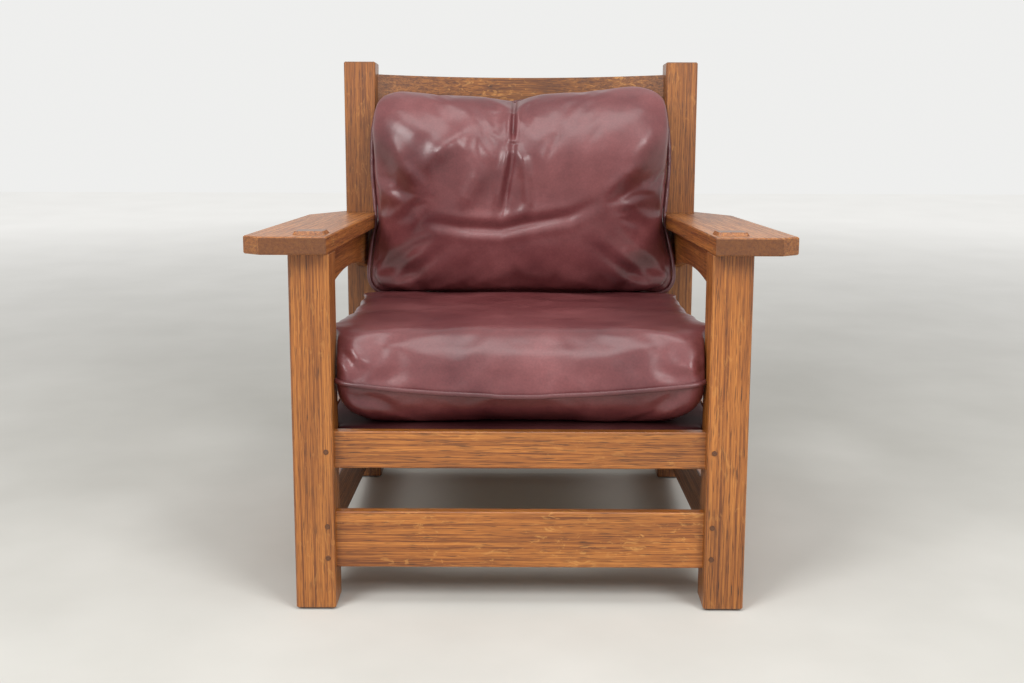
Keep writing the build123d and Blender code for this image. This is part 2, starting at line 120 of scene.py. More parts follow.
# %% World
seen_colour = (0.86, 0.86, 0.85, 1)
seen_strength = 1.0
ambient_colour = (1.0, 0.99, 0.97, 1)
ambient_strength = 0.42
world = bpy.data.worlds.new("pale_studio")
bpy.context.scene.world = world
world.use_nodes = True
tree = world.node_tree
tree.nodes.clear()
seen = tree.nodes.new("ShaderNodeBackground")
seen.inputs["Color"].default_value = seen_colour
seen.inputs["Strength"].default_value = seen_strength
ambient = tree.nodes.new("ShaderNodeBackground")
ambient.inputs["Color"].default_value = ambient_colour
ambient.inputs["Strength"].default_value = ambient_strength
ray = tree.nodes.new("ShaderNodeLightPath")
mix = tree.nodes.new("ShaderNodeMixShader")
out = tree.nodes.new("ShaderNodeOutputWorld")
sum_of_rays = ray.outputs["Is Camera Ray"]
for kind in ("Is Glossy Ray", "Is Transmission Ray"):
    total = tree.nodes.new("ShaderNodeMath")
    total.operation = "MAXIMUM"
    tree.links.new(sum_of_rays, total.inputs[0])
    tree.links.new(ray.outputs[kind], total.inputs[1])
    sum_of_rays = total.outputs[0]
tree.links.new(sum_of_rays, mix.inputs["Fac"])
tree.links.new(ambient.outputs["Background"], mix.inputs[1])
tree.links.new(seen.outputs["Background"], mix.inputs[2])
tree.links.new(mix.outputs["Shader"], out.inputs["Surface"])
print("world light:", ambient_strength)

# %% [markdown]
# A material is a small network of nodes, so a helper that adds a node, sets its values
# and joins its inputs in one line keeps the recipes below short enough to read.

# %% Helper for materials
# The colour sockets of a Mix node share their names with its other ones, so these are numbers.
MIX_FIRST, MIX_SECOND, MIX_RESULT = 6, 7, 2


class Recipe:
    """A material under construction."""

    def __init__(self, name):
        self.material = bpy.data.materials.new(name)
        self.material.use_nodes = True
        self.tree = self.material.node_tree
        self.tree.nodes.clear()
        self.shader = self.add("BsdfPrincipled")
        output = self.add("OutputMaterial")
        self.tree.links.new(self.shader.outputs["BSDF"], output.inputs["Surface"])
        self.place = self.add("TexCoord").outputs["Object"]

    def add(self, kind, inputs=None, **settings):
        """A node with its settings, and its inputs set or joined by name or number."""
        node = self.tree.nodes.new("ShaderNode" + kind)
        for name, value in settings.items():
            setattr(node, name, value)
        for name, value in (inputs or {}).items():
            self.feed(node.inputs[name], value)
        return node

    def feed(self, socket, value):
        """A plain value is set on a socket, and an output is joined to it."""
        if isinstance(value, bpy.types.NodeSocket):
            self.tree.links.new(value, socket)
        else:
            socket.default_value = value

    def math(self, operation, first, second=0.0):
        return self.add("Math", {0: first, 1: second}, operation=operation).outputs[0]

    def stretched(self, scale, shift=(0, 0, 0), turn=(0, 0, 0), source=None):
        """Coordinates moved, turned and stretched."""
        inputs = {"Vector": source or self.place, "Scale": scale}
        inputs.update({"Location": shift, "Rotation": turn})
        return self.add("Mapping", inputs).outputs["Vector"]

    def noise(self, vector, scale=1.0, detail=2.0, roughness=0.5, distortion=0.0):
        inputs = {"Vector": vector, "Scale": scale, "Detail": detail}
        inputs.update({"Roughness": roughness, "Distortion": distortion})
        return self.add("TexNoise", inputs).outputs["Fac"]

    def ramp(self, source, stops):
        """Colours or grey levels along a value from 0 to 1."""
        node = self.add("ValToRGB", {"Fac": source})
        while len(node.color_ramp.elements) < len(stops):
            node.color_ramp.elements.new(1)
        for element, (position, colour) in zip(node.color_ramp.elements, stops):
            level = (colour,) * 3 if isinstance(colour, (int, float)) else colour
            element.position = position
            element.color = (*level, 1)
        return node.outputs["Color"]

    def blend(self, share, first, second, mode="MIX"):
        """Two colours mixed by a share, or one multiplied onto the other."""
        node = self.add("Mix", data_type="RGBA", blend_type=mode)
        self.feed(node.inputs["Factor"], share)
        self.feed(node.inputs[MIX_FIRST], first)
        self.feed(node.inputs[MIX_SECOND], second)
        return node.outputs[MIX_RESULT]

    def finish(self, **inputs):
        """Sets or joins the inputs of the shader, with _ for a blank in a name."""
        for name, value in inputs.items():
            self.feed(self.shader.inputs[name.replace("_", " ")], value)
        return self.material


def stained(colour, depth):
    """A colour made lighter or darker by a factor."""
    return tuple(part * depth for part in colour)


def dress(piece, material):
    """Gives a piece one material in place of those that it has."""
    piece.data.materials.clear()
    piece.data.materials.append(material)


print("recipe helper ready")

# %% [markdown]
# ## Floor
# The floor is one large pale plane, and it isn't part of the chair. It is matt, and only a
# faint mottle keeps it from looking like paper. Far from the chair it glows as pale as the
# world behind it, so that no horizon draws the eye.

# %% Floor
floor_size = 14
glow_starts, glow_is_full, full_glow = 0.16, 0.80, 0.56
bpy.ops.object.select_all(action="DESELECT")
bpy.ops.mesh.primitive_plane_add(size=floor_size, location=(0, 0, 0))
floor = bpy.context.object
floor.name = "studio_floor"
recipe = Recipe("pale_floor")
mottle = recipe.noise(recipe.place, scale=3, detail=4)
shade = recipe.ramp(mottle, [(0.3, (0.61, 0.60, 0.56)), (0.7, (0.67, 0.66, 0.62))])
reach = recipe.add("VectorMath", {0: recipe.place}, operation="LENGTH").outputs["Value"]
share_out = recipe.math("DIVIDE", reach, floor_size / 2)
far = recipe.ramp(share_out, [(glow_starts, 0.0), (glow_is_full, full_glow)])
floor_finish = {"Roughness": 0.8, "Specular_IOR_Level": 0.0, "Emission_Strength": 1.0}
floor.data.materials.append(recipe.finish(Base_Color=shade, Emission_Color=far, **floor_finish))
print("floor:", floor_size, "m")

# %% [markdown]
# ## Oak
# Quarter-sawn oak has straight fine grain along each board, short dark pores in line
# with it, and ray flecks, which are silky, uneven patches. Noise that is stretched along
# one axis gives all three, up to ninetyfold for the grain and threefold for the flecks, so
# each board needs only the axis of its own grain. The recipe is a function, because every
# board gets its own cut of the wood: another part of the noise, and a slightly lighter or
# darker stain. The crest rail, the rear posts and the back slats are also painted darker,
# as painted shade where the light falls off towards the back, and the front stretcher is
# painted lighter, as painted light. Sawn ends drink more stain, so they are darker.

# %% Oak recipe
grain_axes = {"x": 0, "y": 1, "z": 2}
dark_oak = (0.150, 0.040, 0.006)
middle_oak = (0.325, 0.103, 0.016)
light_oak = (0.480, 0.175, 0.032)
fleck_colour = (0.56, 0.25, 0.06, 1)
pore_colour = (0.040, 0.012, 0.003, 1)
sawn_end_colour = (0.090, 0.027, 0.006, 1)
eased_edge = 0.0014
cut_step = (1.7, 2.3, 3.1)


def along_grain(axis, across, along):
    """Stretch factors for noise whose streaks run along one axis."""
    scale = [across] * 3
    scale[grain_axes[axis]] = along
    return scale


def facing_along(recipe, axis):
    """One where a face looks along the grain, as the sawn end of a board does."""
    normal = recipe.add("TexCoord").outputs["Normal"]
    parts = recipe.add("SeparateXYZ", {"Vector": normal})
    return recipe.math("ABSOLUTE", parts.outputs[axis.upper()])


def oak(name, axis, cut, depth=1.0, fleck=0.5, polish=0.3):
    """Stained oak with its grain along an axis, from one cut of the tree."""
    recipe = Recipe(name)
    square = recipe.stretched((1, 1, 1), turn=(chair_lean, 0, 0))
    shift = tuple(step * cut for step in cut_step)

    def streaks(across, along, **settings):
        scale = along_grain(axis, across, along)
        return recipe.noise(recipe.stretched(scale, shift, source=square), **settings)

    rings = streaks(across=200, along=2.2, detail=4, roughness=0.6)
    fibres = streaks(across=700, along=9, detail=3, roughness=0.65)
    pores = streaks(across=950, along=30, detail=1)
    flames = streaks(across=95, along=34, detail=3, roughness=0.6, distortion=1.4)
    clusters = streaks(across=14, along=9, detail=2)
    clouds = streaks(across=7, along=2.5, detail=3)
    grain = recipe.math("MULTIPLY_ADD", fibres, 0.5)
    recipe.feed(grain.node.inputs[2], recipe.math("MULTIPLY", rings, 0.5))
    tones = [stained(tone, depth) for tone in (dark_oak, middle_oak, light_oak)]
    colour = recipe.ramp(grain, list(zip((0.40, 0.50, 0.60), tones)))
    patch = recipe.ramp(clouds, [(0.3, 0.80), (0.7, 1.12)])
    colour = recipe.blend(1.0, colour, patch, mode="MULTIPLY")
    fleck_mask = recipe.ramp(flames, [(0.55, 0.0), (0.66, 1.0)])
    cluster_mask = recipe.ramp(clusters, [(0.42, 0.0), (0.58, 1.0)])
    fleck_area = recipe.math("MULTIPLY", fleck_mask, cluster_mask)
    fleck_share = recipe.math("MULTIPLY", fleck_area, fleck)
    colour = recipe.blend(fleck_share, colour, fleck_colour)
    pore_mask = recipe.ramp(pores, [(0.32, 1.0), (0.42, 0.0)])
    pore_share = recipe.math("MULTIPLY", pore_mask, 0.8)
    colour = recipe.blend(pore_share, colour, pore_colour)
    end_grain = recipe.ramp(facing_along(recipe, axis), [(0.6, 0.0), (0.9, 0.78)])
    colour = recipe.blend(end_grain, colour, sawn_end_colour)
    roughness = recipe.ramp(grain, [(0.3, 0.50), (0.7, 0.39)])
    height = recipe.math("SUBTRACT", recipe.math("MULTIPLY", grain, 0.4), pore_mask)
    eased = recipe.add("Bevel", {"Radius": eased_edge}, samples=4).outputs["Normal"]
    bump_inputs = {"Height": height, "Strength": 0.25, "Distance": 0.0004, "Normal": eased}
    bump = recipe.add("Bump", bump_inputs)
    return recipe.finish(
        Base_Color=colour,
        Roughness=roughness,
        Normal=bump.outputs["Normal"],
        Coat_Weight=polish,
        Coat_Roughness=0.22,
    )


# %% Oak on every board
grain_of = {
    "arch_rail": "y",
    "arm": "y",
    "back_slat": "x",
    "crest_rail": "x",
    "front_post": "z",
    "rear_post": "z",
    "front_seat_rail": "x",
    "rear_seat_rail": "x",
    "front_stretcher": "x",
    "rear_stretcher": "x",
    "lower_back_rail": "x",
    "side_seat_rail": "y",
    "side_stretcher": "y",
}
fleck_of = {"crest_rail": 0.8, "front_stretcher": 0.75, "arm": 0.6}
polish_of = {"arm": 0.14, "crest_rail": 0.5}
# The crest rail, rear posts and back slats are painted darker, as painted shade where the light
# falls off towards the back, and the front stretcher lighter, as painted light; the small spread
# between boards is their own stain.
stain_and_painted_light_of = {"crest_rail": 0.72, "rear_post": 0.82, "back_slat": 0.8, "front_stretcher": 1.12}
plain_stain, plain_fleck, plain_polish = 1.0, 0.35, 0.3
stain_spread = 0.05
boards = 0
for name in sorted(nodes):
    for start, axis in grain_of.items():
        if name.startswith(start):
            boards += 1
            depth = stain_and_painted_light_of.get(start, plain_stain) + stain_spread * sin(7 * boards)
            fleck = fleck_of.get(start, plain_fleck)
            polish = polish_of.get(start, plain_polish)
            dress(nodes[name], oak("oak_" + name, axis, boards, depth, fleck, polish))
print("oak boards:", boards)

# %% Pegs, hidden wood and glides
peg_oak = oak("oak_pegs", "y", cut=40, depth=0.62, fleck=0.1)
plain_wood = oak("deck_wood", "x", cut=41, depth=1.25, fleck=0.1)
recipe = Recipe("glide_plastic")
dust = recipe.noise(recipe.place, scale=220, detail=3)
glide_grey = recipe.ramp(dust, [(0.35, (0.035, 0.030, 0.027)), (0.7, (0.075, 0.066, 0.058))])
glide_plastic = recipe.finish(Base_Color=glide_grey, Roughness=0.6)
for name, node in nodes.items():
    if name.endswith("pegs") or "_pegs_" in name:
        dress(node, peg_oak)
    elif name.startswith("deck_") or "cleat" in name:
        dress(node, plain_wood)
    elif name == "glides":
        dress(node, glide_plastic)
print("pegs, deck wood and glides finished")

# %% [markdown]
# ## Leather
# The leather is a soft oxblood hide with a low gloss. Seen close it has a fine pebble
# grain, which is a field of small cells pressed in by a bump. Seen from a step away its
# colour drifts between a darker and a paler red, and a faint ripple crosses it.

# %% Leather recipe
dark_hide = (0.098, 0.022, 0.026)
middle_hide = (0.147, 0.037, 0.040)
light_hide = (0.204, 0.059, 0.062)
pebbles_per_metre = 620.0


def leather(name, depth=1.0, gloss=0.34, shine=0.5):
    """Soft oxblood hide."""
    recipe = Recipe(name)
    drift = recipe.noise(recipe.place, scale=7, detail=4, roughness=0.6)
    speck = recipe.noise(recipe.place, scale=260, detail=2)
    tones = [stained(tone, depth) for tone in (dark_hide, middle_hide, light_hide)]
    base = recipe.ramp(drift, list(zip((0.30, 0.50, 0.70), tones)))
    shade = recipe.ramp(speck, [(0.3, 0.88), (0.7, 1.08)])
    colour = recipe.blend(1.0, base, shade, mode="MULTIPLY")
    cells = recipe.add("TexVoronoi", {"Vector": recipe.place, "Scale": pebbles_per_metre})
    cells.feature = "F1"
    ripple = recipe.noise(recipe.place, scale=42, detail=4, distortion=0.8)
    pebble = recipe.math("MULTIPLY", cells.outputs["Distance"], 0.25)
    height = recipe.math("ADD", pebble, ripple)
    bump = recipe.add("Bump", {"Height": height, "Strength": 0.20, "Distance": 0.0014})
    roughness = recipe.ramp(drift, [(0.3, gloss - 0.05), (0.7, gloss + 0.08)])
    return recipe.finish(
        Base_Color=colour,
        Roughness=roughness,
        Normal=bump.outputs["Normal"],
        Specular_IOR_Level=shine,
        Coat_Weight=0.3 * shine,
        Coat_Roughness=0.26,
    )


cushion_leather = leather("oxblood_leather")
# The welts are painted darker than the cover, as painted shade of the crease along each seam.
painted_shade_welt_leather = leather("painted_shade_welt_leather", depth=0.72, gloss=0.40)
# The deck leather is painted far darker than the cushions, as painted shade of the narrow gap
# under the seat cushion.
painted_shade_deck_hide = leather("deck_leather", depth=0.32, gloss=0.66, shine=0.08)
print("leathers:", cushion_leather.name, painted_shade_welt_leather.name, painted_shade_deck_hide.name)

# %% [markdown]
# ## Cushions
# Each cushion is a closed leather cover over foam and a soft wrap, sewn together along a
# cord that runs right round it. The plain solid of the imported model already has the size,
# the crown and the drawn-in sides, so a copy of its outer skin is the start. The copy is
# remeshed into even small squares, because cloth only wrinkles where it has points to
# move. Then it is blown up gently as cloth, with the ring along the seam held fast.

# %% Helpers for meshes
def select_only(piece):
    """Makes one object the only selected and the active one."""
    bpy.ops.object.select_all(action="DESELECT")
    piece.select_set(True)
    bpy.context.view_layer.objects.active = piece


def read_points(piece):
    points = np.empty(3 * len(piece.data.vertices))
    piece.data.vertices.foreach_get("co", points)
    return points.reshape(-1, 3)


def write_points(piece, points):
    piece.data.vertices.foreach_set("co", points.astype(np.float32).ravel())
    piece.data.update()


def apply_modifier(piece, kind, **settings):
    """Adds a modifier with its settings and applies it at once."""
    select_only(piece)
    modifier = piece.modifiers.new(kind.lower(), kind)
    for name, value in settings.items():
        setattr(modifier, name, value)
    bpy.ops.object.modifier_apply(modifier=modifier.name)


def smooth(piece, passes):
    apply_modifier(piece, "SMOOTH", factor=0.5, iterations=passes)


def even_skin(piece, voxel, passes):
    """Remeshes a piece into small squares of one size, and smooths it."""
    apply_modifier(piece, "REMESH", mode="VOXEL", voxel_size=voxel, adaptivity=0)
    smooth(piece, passes)


def outer_skin(node_name, new_name):
    """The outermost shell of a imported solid, as a new object with joined edges."""
    skin = bpy.data.objects.new(new_name, nodes[node_name].data.copy())
    bpy.context.scene.collection.objects.link(skin)
    skin.data.materials.clear()
    select_only(skin)
    bpy.ops.object.mode_set(mode="EDIT")
    bpy.ops.mesh.select_all(action="SELECT")
    bpy.ops.mesh.remove_doubles(threshold=0.00002)
    bpy.ops.mesh.separate(type="LOOSE")
    bpy.ops.object.mode_set(mode="OBJECT")
    shells = list(bpy.context.selected_objects)
    shells.sort(key=lambda shell: shell.dimensions.length)
    outermost = shells.pop()
    for shell in shells:
        bpy.data.objects.remove(shell)
    outermost.name = new_name
    return outermost


print("mesh helpers ready")

# %% The frame of each cushion
def seam_frame(piping_name, turn):
    """A frame at the middle of a seam: X across, Y along the cushion and Z out of it."""
    low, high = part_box(piping_name)
    return Matrix.Translation((low + high) / 2) @ Matrix.Rotation(turn, 4, "X")


seat_frame = seam_frame("seat_cushion_piping", -chair_lean)
back_frame = seam_frame("back_cushion_piping", pi / 2 - chair_lean - back_cushion_lean)


def to_local(points, place):
    """Points of the room, seen from a cushion's frame."""
    inverse = np.array(place.inverted())
    return points @ inverse[:3, :3].T + inverse[:3, 3]


def to_room(points, place):
    matrix = np.array(place)
    return points @ matrix[:3, :3].T + matrix[:3, 3]


for name, place in (("seat_cushion", seat_frame), ("back_cushion", back_frame)):
    local = to_local(read_points(nodes[name]), place)
    print(name, "in its own frame:", local.min(0).round(3), local.max(0).round(3))

# %% [markdown]
# A cushion is filled in four steps. Its skin is remeshed, the ring of points along the
# seam is marked, the blank is bent to the shape that years of use have given it, and then
# it is blown up as cloth that is a little too large, while the seam holds still. The
# spare leather gathers into puckers along the seam, as it does on a sewn cushion.

# %% Shapes that a number can follow
def bump_shape(distance, width):
    """One where the distance is nothing, and falling smoothly to nothing beyond the width."""
    return np.exp(-((distance / width) ** 2))


def ramp_up(value, start, reach):
    """Nothing up to the start, and rising evenly to one over the reach beyond it."""
    return np.clip((value - start) / reach, 0, 1)


def step_down(value, middle, width):
    """One well below the middle, and falling smoothly to nothing well above it."""
    return 1 / (1 + np.exp((value - middle) / width))


def corner(height, power):
    """How wide a rounded outline is at a share of its height: the higher the power, the boxier."""
    return (1 - height**power) ** (1 / power)


print("shape helpers ready")

# %% A blank for each cushion
seam_band = 0.004
cushion_voxel = 0.006


def cushion_blank(node_name, new_name, place, bend):
    """The evenly meshed and bent skin of a packed cushion, and the points along its seam."""
    blank = outer_skin(node_name, new_name)
    even_skin(blank, cushion_voxel, passes=6)
    local = to_local(read_points(blank), place)
    seam = np.flatnonzero(np.abs(local[:, 2]) < seam_band)
    write_points(blank, to_room(bend(local), place))
    smooth(blank, passes=8)
    return blank, seam


# %% The shape that use has given the seat
crown_height = 0.110
highest_rise = 0.97
packed_crown_power = 0.12
side_power, front_power = 14, 4
outline_power = 4
seat_widening = 1.085
crown_share = 0.84
seam_front = -0.24
seam_fall, seam_drop, seam_reach = 0.022, 0.009, 0.045


def bend_seat(local):
    """Boxy, for the posts press its sides upright, and its front seam hangs in the middle."""
    x, y, z = local.T
    half_width, half_length = np.abs(local[:, :2]).max(0)
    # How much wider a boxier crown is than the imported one, at the height of each point
    crown_rise = np.minimum(ramp_up(z, seam_band, crown_height), highest_rise)
    plain = (1 - crown_rise**2) ** packed_crown_power
    boxy = corner(crown_rise, side_power) / plain - 1
    round_off = corner(crown_rise, front_power) / plain - 1
    # Points near the outline move out by all of it, and those further in by little
    in_front = step_down(y, 0.05, 0.05)
    at_side = (np.abs(x) / (plain * half_width)) ** outline_power
    at_end = (np.abs(y) / (plain * half_length)) ** outline_power
    local[:, 0] *= seat_widening + np.maximum(boxy, 0) * at_side
    local[:, 1] *= 1 + in_front * np.maximum(round_off, 0) * at_end
    # The crown has sunk, and the front seam is lowest in its middle
    local[:, 2] *= np.where(z > 0, crown_share, 1.0)
    seam_shift = seam_fall * (x / 0.3) ** 2 - seam_drop
    at_front_seam = step_down(y, seam_front, 0.025) * seam_shift
    local[:, 2] += at_front_seam * bump_shape(z, seam_reach)
    return local


seat_cushion, seat_seam = cushion_blank(
    "seat_cushion", "seat_cushion_leather", seat_frame, bend_seat
)
print("points on the seat's seam:", len(seat_seam))

# %% The shape that use has given the back
side_heights = (-0.2, -0.185, -0.17, -0.15, -0.13, -0.09, -0.06, 0.0, 0.06, 0.13, 0.17, 0.2)
left_widths = (0.375, 0.355, 0.337, 0.327, 0.322, 0.312, 0.309, 0.313, 0.320, 0.326, 0.328, 0.330)
right_widths = (0.384, 0.362, 0.343, 0.333, 0.324, 0.312, 0.309, 0.313, 0.321, 0.325, 0.328, 0.330)
top_places = (-0.31, -0.265, -0.22, -0.166, -0.107, -0.048, -0.012, 0.047, 0.12, 0.235, 0.31)
top_shifts = (0.014, 0.009, -0.002, -0.009, -0.010, -0.015, -0.018, -0.003, 0.002, 0.013, 0.022)


bottom_drop = 0.022
belly_height, belly_swell = -0.13, 0.014
chest_height, chest_dip = 0.13, 0.010
corner_power, corner_fill = 8, 0.28


def bend_back(local):
    """Wider below the arms, sunk to a belly, and its upper seam dips at the sewn dart."""
    x, y, z = local.T
    half_width = np.abs(x).max()
    # The width at each height, on the left and on the right of the middle
    width = np.interp(y, side_heights, left_widths)
    width = np.where(x > 0, np.interp(y, side_heights, right_widths), width)
    wider = (width / half_width - 1) * (np.abs(x) / half_width) ** 2.5
    upper = ramp_up(y, 0.05, 0.15) ** 2
    lower = ramp_up(-y, 0.05, 0.15) ** 2
    # A fuller belly and a flatter chest, on the front face alone
    belly = belly_swell * bump_shape(y - belly_height, 0.08)
    belly -= chest_dip * bump_shape(y - chest_height, 0.09)
    local[:, 2] += ramp_up(z, 0, 0.06) * belly * bump_shape(x, 0.30)
    local[:, 1] += upper * np.interp(x, top_places, top_shifts) - lower * bottom_drop
    local[:, 0] *= 1 + wider
    # Both upper corners are pushed out
    half_length = np.abs(y).max()
    in_corner = (np.abs(x) / half_width) ** corner_power
    in_corner *= ramp_up(y, 0, half_length) ** corner_power
    local[:, :2] *= (1 + corner_fill * in_corner)[:, None]
    return local


back_cushion, back_seam = cushion_blank(
    "back_cushion", "back_cushion_leather", back_frame, bend_back
)
print("points on the back's seam:", len(back_seam))

# %% Filling the cushions
def fill_cushion(cushion, seam, pressure, slack, cap, frames=20):
    """Blows a skin up as cloth with its seam held, and limits how far it may swell."""
    start = read_points(cushion)
    held = cushion.vertex_groups.new(name="seam")
    held.add([int(i) for i in seam], 1.0, "REPLACE")
    cloth = cushion.modifiers.new("filling", "CLOTH")
    settings = cloth.settings
    settings.quality = 6
    settings.mass = 0.35
    settings.tension_stiffness = 18
    settings.compression_stiffness = 18
    settings.shear_stiffness = 6
    settings.bending_stiffness = 2.5
    settings.vertex_group_mass = held.name
    settings.use_pressure = True
    settings.uniform_pressure_force = pressure
    settings.shrink_min = -slack
    settings.effector_weights.gravity = 0
    cloth.collision_settings.use_collision = False
    cloth.point_cache.frame_start = 1
    cloth.point_cache.frame_end = frames
    for number in range(1, frames + 1):
        bpy.context.scene.frame_set(number)
    select_only(cushion)
    bpy.ops.object.modifier_apply(modifier=cloth.name)
    moved = read_points(cushion) - start
    length = np.linalg.norm(moved, axis=1, keepdims=True)
    kept = cap * np.tanh(length / cap) / np.maximum(length, 1e-9)
    write_points(cushion, start + moved * kept)
    cushion.vertex_groups.clear()
    bpy.context.scene.frame_set(1)
    return float(length.max())


swelled = fill_cushion(seat_cushion, seat_seam, pressure=3, slack=0.007, cap=0.013)
print("seat cushion swelled by", round(swelled, 4))
swelled = fill_cushion(back_cushion, back_seam, pressure=3.5, slack=0.012, cap=0.018)
print("back cushion swelled by", round(swelled, 4))

# %% [markdown]
# The filled seat is too round at its upper side edges. Seen from the front, its outline is
# that of a curve between an ellipse and a box, so each point is moved out by as much as a
# boxier curve of the same kind is wider in that direction.

# %% The shoulders of the seat
def square_shoulders(cushion, place, found=4.5, wanted=16):
    """Moves the upper side edges out from a curve of the power found to the one wanted."""
    local = to_local(read_points(cushion), place)
    half, top = np.abs(local[:, 0]).max(), local[:, 2].max()
    across = np.abs(local[:, 0]) / half
    rise = ramp_up(local[:, 2], 0, top)
    reach = np.maximum(np.hypot(across, rise), 1e-6)
    across, rise = across / reach, rise / reach
    grow = (across**found + rise**found) ** (1 / found)
    grow /= (across**wanted + rise**wanted) ** (1 / wanted)
    local[:, 0] *= grow
    local[:, 2] *= grow
    write_points(cushion, to_room(local, place))
    return float(grow.max())


grown = square_shoulders(seat_cushion, seat_frame)
smooth(seat_cushion, passes=8)
print("shoulders moved out by a factor of", round(grown, 3))

# %% [markdown]
# The cushions are soft, so they give way wherever they meet something: the seat lies flat
# on the deck and presses against the posts, and the back cushion lies on the seat and
# against the bowed slats. Each of these is a limit that points may not pass. A soft limit
# slows them down before they reach it, which leaves a rounded edge round the flat place.

# %% The silhouette along the seam
def soft_limit(value, limit, softness):
    """Values below a limit, eased where they come near it."""
    start = limit - softness
    over = np.maximum(value - start, 0)
    return np.where(value > start, start + softness * np.tanh(over / softness), value)


def seam_ring(cushion, seam, place, count=150):
    """Points along a cushion's seam, evenly spaced round it."""
    local = to_local(read_points(cushion)[seam], place)
    half = np.abs(local).max(0)
    angle = np.arctan2(local[:, 1] / half[1], local[:, 0] / half[0])
    bins = np.floor((angle + pi) / (2 * pi) * count).astype(int) % count
    ring = [local[bins == number].mean(0) for number in range(count) if (bins == number).any()]
    return np.array(ring)


def around(local, half):
    """The direction of points seen along a cushion, and their distance from its middle."""
    scaled = local[:, :2] / half
    return np.arctan2(scaled[:, 1], scaled[:, 0]), np.hypot(scaled[:, 0], scaled[:, 1])


def keep_inside_seam(cushion, seam, place, inset, softness=0.035):
    """Draws in what has swelled past the seam, so that the seam is the cushion's outline."""
    local = to_local(read_points(cushion), place)
    ring = seam_ring(cushion, seam, place)
    half = np.abs(ring[:, :2]).max(0)
    ring_angle, ring_reach = around(ring, half)
    angle, reach = around(local, half)
    beside_seam = ramp_up(np.abs(local[:, 2]), seam_band, 0.012)
    limit = np.interp(angle, ring_angle, ring_reach, period=2 * pi) * (1 - inset * beside_seam)
    kept = soft_limit(reach, limit, softness)
    local[:, :2] *= (kept / np.maximum(reach, 0.01))[:, None]
    write_points(cushion, to_room(local, place))


keep_inside_seam(back_cushion, back_seam, back_frame, inset=0.034)
print("the back's outline is its seam")

# %% The chair before it leans back
def to_square(points):
    """Points of the room, seen from the chair before it leans back."""
    return points @ np.array(lean_matrix)[:3, :3]


def from_square(points):
    return points @ np.array(lean_matrix)[:3, :3].T


def square_box(name):
    points = to_square(read_points(nodes[name]))
    return points.min(0), points.max(0)


post_low, post_high = square_box("front_post_right")
rear_post_low = square_box("rear_post_right")[0]
arm_low, arm_high = square_box("arm_right")
print("room between the front posts:", round(2 * post_low[0], 4))

# %% Room at both sides of the cushions
clear = 0.0006
half_room_behind_posts = 0.329
half_room_below_arms, half_room_above_arms = 0.330, 0.326
arm_levels = arm_low[2] - 0.035, arm_low[2] - 0.003, arm_high[2] + 0.003, arm_high[2] + 0.03


def room_beside_seat(square):
    """Half the room for the seat: up to the front posts, and more behind them."""
    behind = post_high[1] + np.array([0.002, 0.035])
    return np.interp(square[:, 1], behind, [post_low[0] - 3 * clear, half_room_behind_posts])


def room_beside_back(square):
    """Half the room for the back: little between the arms and between the rear posts."""
    between_arms = arm_low[0] - clear
    rooms = [half_room_below_arms, between_arms, between_arms, half_room_above_arms]
    room = np.interp(square[:, 2], arm_levels, rooms)
    behind = ramp_up(square[:, 1] - rear_post_low[1], -0.018, 0.015)
    return room + behind * (np.minimum(room, rear_post_low[0] - 2 * clear) - room)


def squeeze(piece, room_beside, spare, softness):
    """Holds a piece within the room at both its sides, and a little spare."""
    square = to_square(read_points(piece))
    across = soft_limit(np.abs(square[:, 0]), room_beside(square) + spare, softness)
    square[:, 0] = np.sign(square[:, 0]) * across
    write_points(piece, from_square(square))


squeeze(seat_cushion, room_beside_seat, spare=0, softness=0.005)
squeeze(back_cushion, room_beside_back, spare=0, softness=0.005)
print("room between the arms:", round(2 * (arm_low[0] - clear), 4))

# %% The seat on its deck
seat_sag, seat_edge = 0.010, 0.022
ripple_height, ripple_fade = 0.004, 0.03
bottom_edge, rear_edge, rear_gap = 0.008, 0.008, 0.002
deck_level = square_box("deck_cover")[1][2]
seat_level = square_box("seat_cushion")[1][2] - seat_sag
square = to_square(read_points(seat_cushion))
square[:, 2] = soft_limit(square[:, 2], seat_level, seat_edge)
ripples = np.array([noise.noise(Vector((x * 7, y * 12, 0))) for x, y, _ in square])
near_top = ramp_up(square[:, 2] - seat_level, -ripple_fade, ripple_fade)
square[:, 2] += ripple_height * ripples * near_top
square[:, 2] = -soft_limit(-square[:, 2], -deck_level - clear, bottom_edge)
square[:, 1] = soft_limit(square[:, 1], rear_post_low[1] - rear_gap, rear_edge)
write_points(seat_cushion, from_square(square))
print("deck and seat levels in the square frame:", round(deck_level, 4), round(seat_level, 4))

# %% The back cushion against the slats
slat_names = ["lower_back_rail"] + [f"back_slat_{n}" for n in (1, 2, 3, 4)] + ["crest_rail"]
slat_points = [to_square(read_points(nodes[name])) for name in slat_names]
inner_edge = post_low[0]
strip_half_width = 0.03
bulge_between_slats = 0.006
bowed = np.vstack([p[np.abs(p[:, 0]) < inner_edge - 0.001] for p in slat_points])
steps = np.linspace(-inner_edge, inner_edge, 61)
face = [bowed[np.abs(bowed[:, 0] - x) < strip_half_width][:, 1].min() for x in steps]
curve_fit = np.polyfit(steps, face, 2)
square = to_square(read_points(back_cushion))
bulge = np.full(len(square), bulge_between_slats)
for points in slat_points:
    low, high = points[:, 2].min(), points[:, 2].max()
    off = np.maximum(np.maximum(low - square[:, 2], square[:, 2] - high), 0)
    bulge = np.minimum(bulge, bulge_between_slats * ramp_up(off, 0, 0.012))
wall = np.polyval(curve_fit, square[:, 0]) - clear + bulge
square[:, 1] = soft_limit(square[:, 1], wall, 0.010)
write_points(back_cushion, from_square(square))
print("bow of the slats, as a curve:", np.round(curve_fit, 3))

